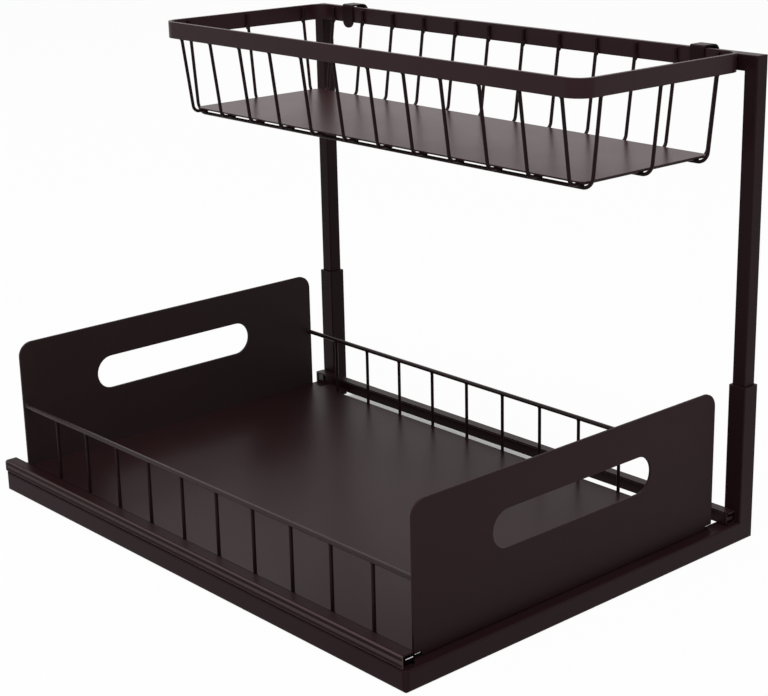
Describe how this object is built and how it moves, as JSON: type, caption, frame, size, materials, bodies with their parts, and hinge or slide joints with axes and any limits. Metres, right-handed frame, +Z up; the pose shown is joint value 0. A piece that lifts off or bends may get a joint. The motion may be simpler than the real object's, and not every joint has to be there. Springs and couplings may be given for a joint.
{
  "type": "pull out cabinet basket",
  "caption": "Cabinet rack with a handled tray on ball slides that pulls out and a wire basket hooked on an upper frame behind it.",
  "frame": {"origin": "middle of the rack's length and width, on the surface it stands on", "axes": "+Z up; -Y is the way the tray pulls out; +X is the side of the posts, so the tray and basket are loaded from -X"},
  "size_m": [0.303, 0.42, 0.3162],
  "materials": {
    "frame_coat": "satin powder coat, black with a brown cast",
    "sheet_coat": "satin powder coat on sheet",
    "panel_coat": "satin powder coat on sheet",
    "wire_coat": "satin powder coat on wire",
    "rim_coat": "satin powder coat",
    "runner_coat": "black coat on rolled steel strip",
    "cage_steel": "bare strip",
    "ball_steel": "polished",
    "cap_plastic": "moulded, black"
  },
  "bodies": {
    "frame": {"left_side_tube": "frame_coat", "front_foot_tube": "frame_coat", "rear_foot_tube": "frame_coat", "front_post_sleeve": "frame_coat", "rear_post_sleeve": "frame_coat", "sleeve_stops": "frame_coat", "left_slide_channel": "frame_coat", "right_slide_channel": "frame_coat", "left_channel_cap": "cap_plastic", "right_channel_cap": "cap_plastic"},
    "left_cage": {"left_ball_cage": "cage_steel", "left_balls": "ball_steel"},
    "right_cage": {"right_ball_cage": "cage_steel", "right_balls": "ball_steel"},
    "tray": {"tray_floor": "sheet_coat", "front_handle_panel": "panel_coat", "rear_handle_panel": "panel_coat", "left_slide_runner": "runner_coat", "right_slide_runner": "runner_coat", "left_fence_top_wire": "wire_coat", "right_fence_top_wire": "wire_coat", "left_fence_bars": "wire_coat", "right_fence_bars": "wire_coat"},
    "upper_frame": {"front_post": "frame_coat", "rear_post": "frame_coat", "crossbar": "frame_coat"},
    "basket": {"basket_rim": "rim_coat", "basket_hoop_1": "wire_coat", "basket_hoop_2": "wire_coat", "basket_hoop_3": "wire_coat", "basket_hoop_4": "wire_coat", "basket_hoop_5": "wire_coat", "basket_hoop_6": "wire_coat", "basket_hoop_7": "wire_coat", "basket_hoop_8": "wire_coat", "basket_hoop_9": "wire_coat", "basket_hoop_10": "wire_coat", "basket_hoop_11": "wire_coat", "basket_hoop_12": "wire_coat", "basket_long_wire_1": "wire_coat", "basket_long_wire_2": "wire_coat", "basket_long_wire_3": "wire_coat", "basket_floor": "sheet_coat", "front_hook": "rim_coat", "rear_hook": "rim_coat"}
  },
  "joints": [
    {"name": "tray_slide", "type": "slide", "parent": "frame", "child": "tray", "axis": [0, -1, 0], "range_m": [0, 0.28]},
    {"name": "left_cage_roll", "type": "slide", "parent": "frame", "child": "left_cage", "axis": [0, -1, 0], "range_m": [0, 0.14]},
    {"name": "right_cage_roll", "type": "slide", "parent": "frame", "child": "right_cage", "axis": [0, -1, 0], "range_m": [0, 0.14]},
    {"name": "upper_frame_lift", "type": "slide", "parent": "frame", "child": "upper_frame", "axis": [0, 0, 1], "range_m": [0, 0.045]},
    {"name": "basket_lift", "type": "slide", "parent": "upper_frame", "child": "basket", "axis": [0, 0, 1], "range_m": [0, 0.07]}
  ],
  "couplings": [
    {"joint": "left_cage_roll", "follows": "tray_slide", "ratio": 0.5},
    {"joint": "right_cage_roll", "follows": "tray_slide", "ratio": 0.5}
  ]
}
